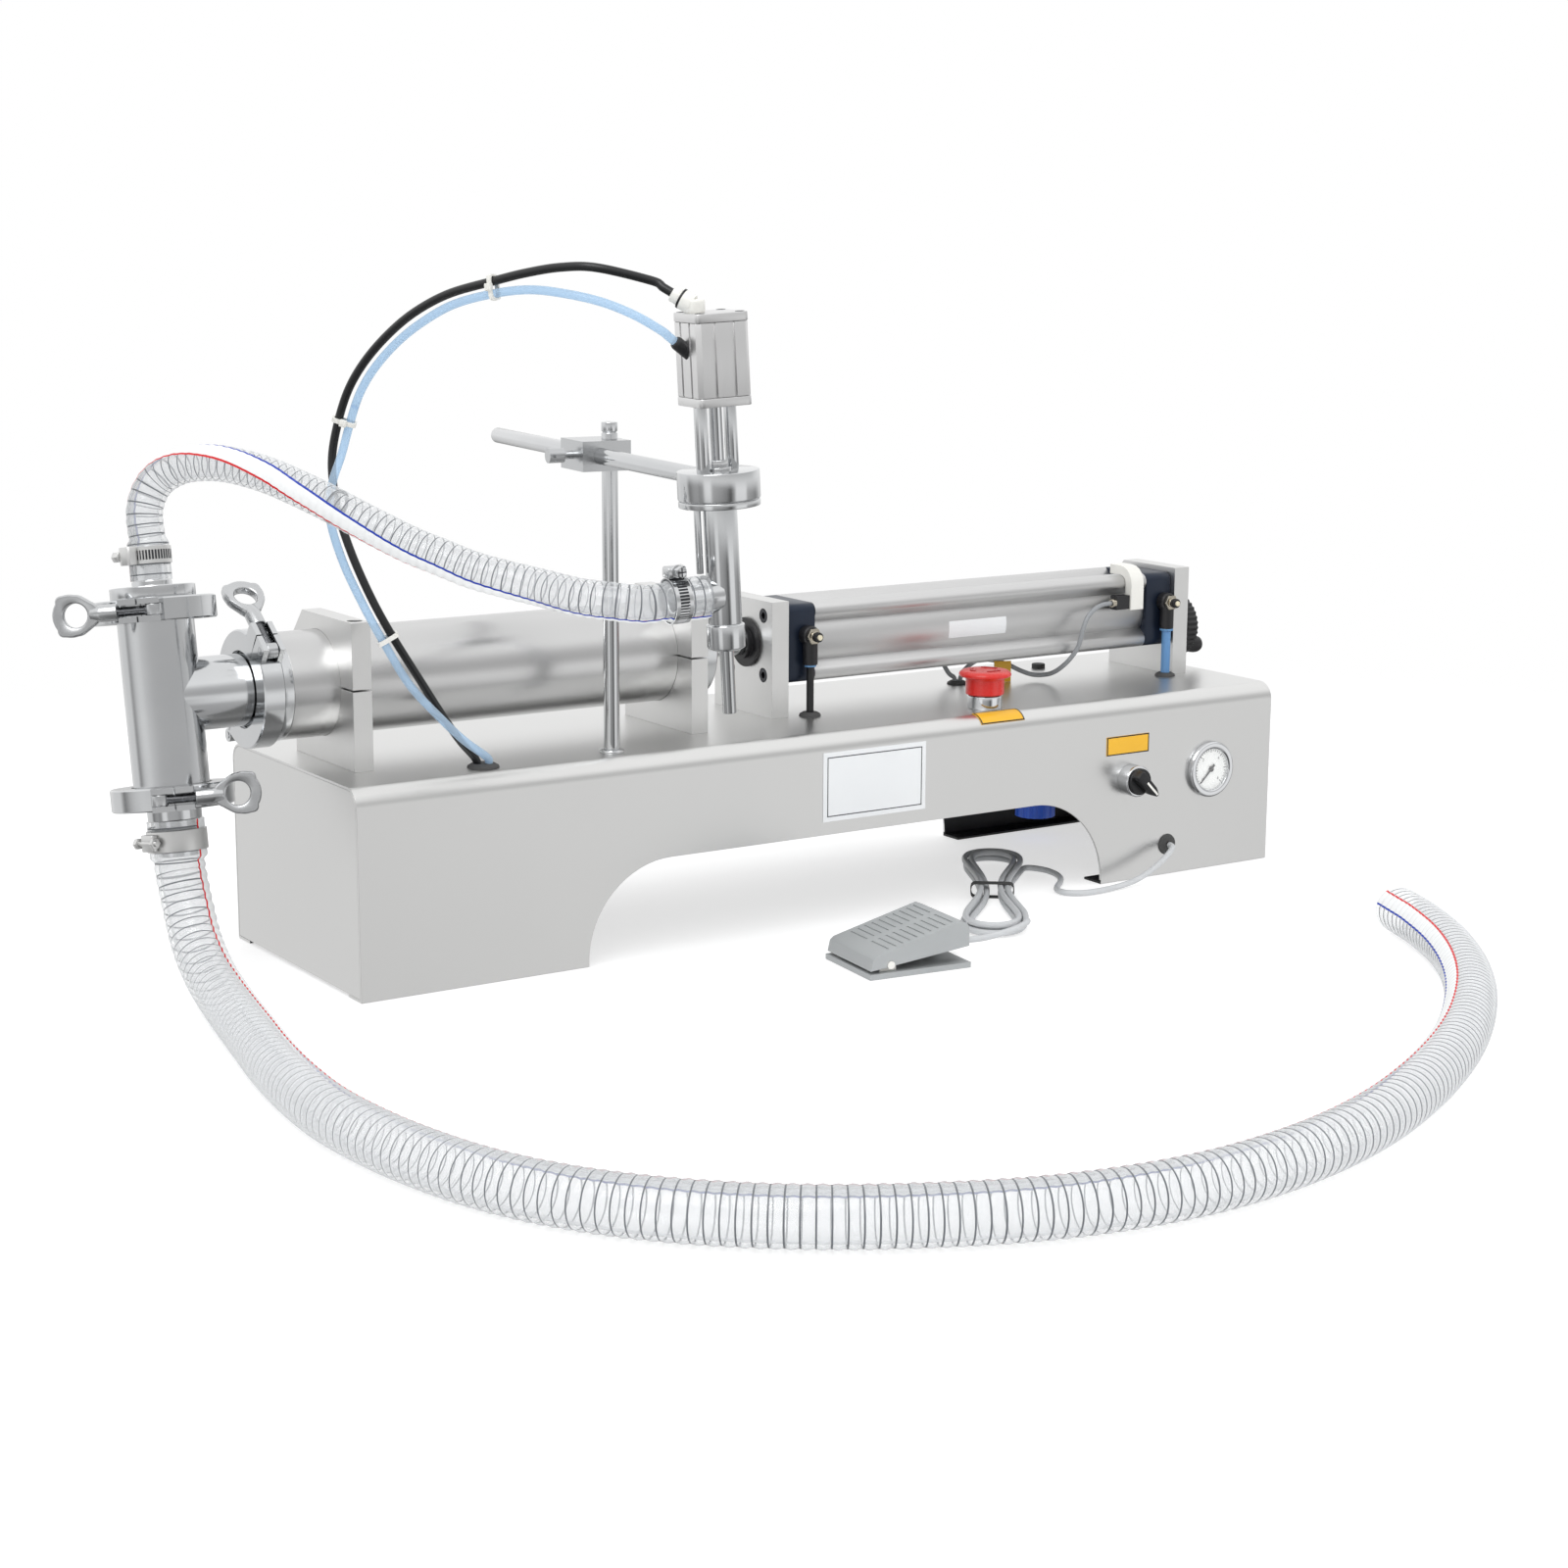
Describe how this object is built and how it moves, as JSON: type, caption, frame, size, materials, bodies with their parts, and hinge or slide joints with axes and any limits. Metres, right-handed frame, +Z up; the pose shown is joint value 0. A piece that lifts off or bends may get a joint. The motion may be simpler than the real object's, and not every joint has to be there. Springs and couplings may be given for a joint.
{
  "type": "pneumatic piston filling machine",
  "caption": "Bench-top pneumatic piston filler with horizontal product cylinder, air cylinder, tri-clamp inlet tee, filling head on a post, ribbed hoses and foot pedal.",
  "frame": {"origin": "centre of the cabinet's footprint, on the bench", "axes": "+X along the cylinders from the inlet tee to the stroke handwheel, +Y to the back, +Z up"},
  "size_m": [1.043, 0.8954, 0.5216],
  "materials": {
    "cabinet_steel": "brushed stainless sheet",
    "stainless_plate": "machined stainless plate, fine grain",
    "stainless_polished": "polished stainless",
    "chromed_rod": "hard chromed",
    "aluminium": "satin anodised",
    "cap_navy": "dark blue-black anodised",
    "black_rubber": "moulded rubber",
    "black_plastic": "moulded plastic",
    "white_plastic": "smooth plastic",
    "red_plastic": "glossy red plastic",
    "blue_plastic": "glossy blue plastic",
    "clear_hose": "clear ribbed vinyl",
    "air_hose": "black polyurethane hose",
    "blue_tube": "light blue polyurethane tube",
    "grey_cord": "grey cable sheath",
    "dark_steel": "blackened socket screws",
    "pedal_grey": "cast and ribbed alloy",
    "label_white": "bare printed plate"
  },
  "bodies": {
    "machine": {"base_shell": "cabinet_steel", "end_panels": "cabinet_steel", "grommets": "black_rubber", "label_plates": "label_white", "control_box": "black_plastic", "cylinder_saddles": "stainless_plate", "cylinder_plates": "stainless_plate", "socket_screws": "dark_steel", "product_cylinder": "stainless_polished", "cylinder_end_caps": "stainless_polished", "seals": "white_plastic", "air_barrel": "aluminium", "air_end_caps": "cap_navy", "flow_elbows": "black_plastic", "air_tubes": "blue_tube", "sensor_strap": "white_plastic", "sensor_cable": "grey_cord", "tee_body": "stainless_polished", "return_springs": "stainless_plate", "hose_adaptors": "stainless_polished", "clamp_jaws": "stainless_polished", "hose_clamps": "stainless_plate", "stand_post": "stainless_polished", "panel_bezels": "stainless_polished", "pedal_base": "pedal_grey", "suction_hose": "clear_hose", "product_hose": "clear_hose", "air_hose_black": "air_hose", "air_tube_blue": "blue_tube", "cord_ties": "white_plastic", "pedal_cord": "grey_cord", "pedal_hank": "grey_cord"},
    "pistons_and_rod": {"pistons": "white_plastic", "piston_rod": "chromed_rod"},
    "stop_plate": {"stop_plate": "aluminium"},
    "handwheel_and_screw": {"handwheel": "black_plastic"},
    "crank_knob": {"crank_knob": "black_plastic"},
    "flow_knob_front": {"flow_knob_front": "black_plastic"},
    "flow_knob_rear": {"flow_knob_rear": "black_plastic"},
    "regulator_knob": {"regulator_knob": "blue_plastic"},
    "estop_stem": {"estop_stem": "red_plastic"},
    "estop_head": {"estop_head": "red_plastic"},
    "selector_knob": {"selector_knob": "black_plastic"},
    "gauge_needle": {"gauge_needle": "black_plastic"},
    "treadle": {"treadle": "pedal_grey"},
    "suction_poppet": {"suction_poppet": "stainless_polished"},
    "discharge_poppet": {"discharge_poppet": "stainless_polished"},
    "front_tbolt": {"front_tbolt": "dark_steel"},
    "top_tbolt": {"top_tbolt": "dark_steel"},
    "bottom_tbolt": {"bottom_tbolt": "dark_steel"},
    "front_eye_nut": {"front_eye_nut": "stainless_polished"},
    "top_eye_nut": {"top_eye_nut": "stainless_polished"},
    "bottom_eye_nut": {"bottom_eye_nut": "stainless_polished"},
    "cross_clamp": {"cross_clamp": "stainless_polished"},
    "filling_head": {"stand_arm": "stainless_polished", "head_flange": "stainless_polished", "filling_tube": "stainless_polished", "nozzle": "stainless_polished", "head_actuator": "aluminium"},
    "lift_plunger": {"lift_plunger": "chromed_rod"}
  },
  "joints": [
    {"name": "piston_slide", "type": "slide", "parent": "machine", "child": "pistons_and_rod", "axis": [1, 0, 0], "range_m": [0, 0.2]},
    {"name": "stop_feed", "type": "slide", "parent": "machine", "child": "stop_plate", "axis": [1, 0, 0], "range_m": [0, 0.06]},
    {"name": "handwheel_turn", "type": "hinge", "parent": "stop_plate", "child": "handwheel_and_screw", "pos_m": [0.291, 0.003, 0.193], "axis": [1, 0, 0], "range_deg": [0, 5400]},
    {"name": "crank_knob_spin", "type": "hinge", "parent": "handwheel_and_screw", "child": "crank_knob", "pos_m": [0.424, -0.00639, 0.17534], "axis": [1, 0, 0], "continuous": true},
    {"name": "flow_front_turn", "type": "hinge", "parent": "machine", "child": "flow_knob_front", "pos_m": [0.0044, -0.04, 0.22], "axis": [0, -1, 0], "range_deg": [0, 1800]},
    {"name": "flow_rear_turn", "type": "hinge", "parent": "machine", "child": "flow_knob_rear", "pos_m": [0.38, -0.04, 0.22], "axis": [0, -1, 0], "range_deg": [0, 1800]},
    {"name": "regulator_turn", "type": "hinge", "parent": "machine", "child": "regulator_knob", "pos_m": [0.311, 0.06, 0.04], "axis": [0, 0, 1], "range_deg": [-720, 720]},
    {"name": "estop_press", "type": "slide", "parent": "machine", "child": "estop_stem", "axis": [0, 0, -1], "range_m": [0, 0.004], "stiffness_N_per_m": 900},
    {"name": "estop_twist", "type": "hinge", "parent": "estop_stem", "child": "estop_head", "pos_m": [0.1465, -0.0767, 0.175], "axis": [0, 0, 1], "range_deg": [0, 30], "stiffness_Nm_per_rad": 0.05},
    {"name": "selector_turn", "type": "hinge", "parent": "machine", "child": "selector_knob", "pos_m": [0.275, -0.118, 0.087], "axis": [0, -1, 0], "range_deg": [0, 90]},
    {"name": "gauge_needle_turn", "type": "hinge", "parent": "machine", "child": "gauge_needle", "pos_m": [0.3634, -0.112, 0.0867], "axis": [0, 1, 0], "range_deg": [0, 250], "stiffness_Nm_per_rad": 0.002},
    {"name": "treadle_press", "type": "hinge", "parent": "machine", "child": "treadle", "pos_m": [-0.07003, -0.22265, 0.0096], "axis": [0.108, 0.9942, 0], "range_deg": [0, 6], "stiffness_Nm_per_rad": 4, "springref_deg": -14.32, "deforming": ["return_springs"]},
    {"name": "suction_valve_lift", "type": "slide", "parent": "machine", "child": "suction_poppet", "axis": [0, 0.1616, 0.9869], "range_m": [0, 0.008], "stiffness_N_per_m": 120, "springref_m": -0.004, "deforming": ["return_springs"]},
    {"name": "discharge_valve_lift", "type": "slide", "parent": "machine", "child": "discharge_poppet", "axis": [0, 0.1616, 0.9869], "range_m": [0, 0.008], "stiffness_N_per_m": 120, "springref_m": -0.004, "deforming": ["return_springs"]},
    {"name": "front_tbolt_swing", "type": "hinge", "parent": "machine", "child": "front_tbolt", "pos_m": [-0.4585, -0.02966, 0.24565], "axis": [1, 0, 0], "range_deg": [0, 100]},
    {"name": "front_eye_nut_turn", "type": "hinge", "parent": "front_tbolt", "child": "front_eye_nut", "pos_m": [-0.4585, -0.00521, 0.26355], "axis": [0, 0.807, 0.5906], "continuous": true},
    {"name": "top_tbolt_swing", "type": "hinge", "parent": "machine", "child": "top_tbolt", "pos_m": [-0.5439, -0.02809, 0.28157], "axis": [0, 0.1616, 0.9869], "range_deg": [0, 100]},
    {"name": "top_eye_nut_turn", "type": "hinge", "parent": "top_tbolt", "child": "top_eye_nut", "pos_m": [-0.56917, -0.01159, 0.27887], "axis": [-0.8339, 0.5447, -0.0892], "continuous": true},
    {"name": "bottom_tbolt_swing", "type": "hinge", "parent": "machine", "child": "bottom_tbolt", "pos_m": [-0.55173, -0.04573, 0.14969], "axis": [0, -0.1616, -0.9869], "range_deg": [0, 100]},
    {"name": "bottom_eye_nut_turn", "type": "hinge", "parent": "bottom_tbolt", "child": "bottom_eye_nut", "pos_m": [-0.52317, -0.05571, 0.15132], "axis": [0.9426, -0.3294, 0.0539], "continuous": true},
    {"name": "head_height", "type": "slide", "parent": "machine", "child": "cross_clamp", "axis": [0, 0, 1], "range_m": [-0.06, 0.008], "deforming": ["product_hose", "air_hose_black", "air_tube_blue", "cord_ties"]},
    {"name": "arm_reach", "type": "slide", "parent": "cross_clamp", "child": "filling_head", "axis": [0.1191, 0.9929, 0], "range_m": [-0.08, 0.08], "deforming": ["product_hose", "air_hose_black", "air_tube_blue", "cord_ties"]},
    {"name": "plunger_lift", "type": "slide", "parent": "filling_head", "child": "lift_plunger", "axis": [-0.0527, 0.0063, 0.9986], "range_m": [0, 0.015], "stiffness_N_per_m": 300, "springref_m": -0.004}
  ],
  "couplings": [
    {"joint": "handwheel_turn", "follows": "stop_feed", "rad_per_m": 1570.8}
  ]
}
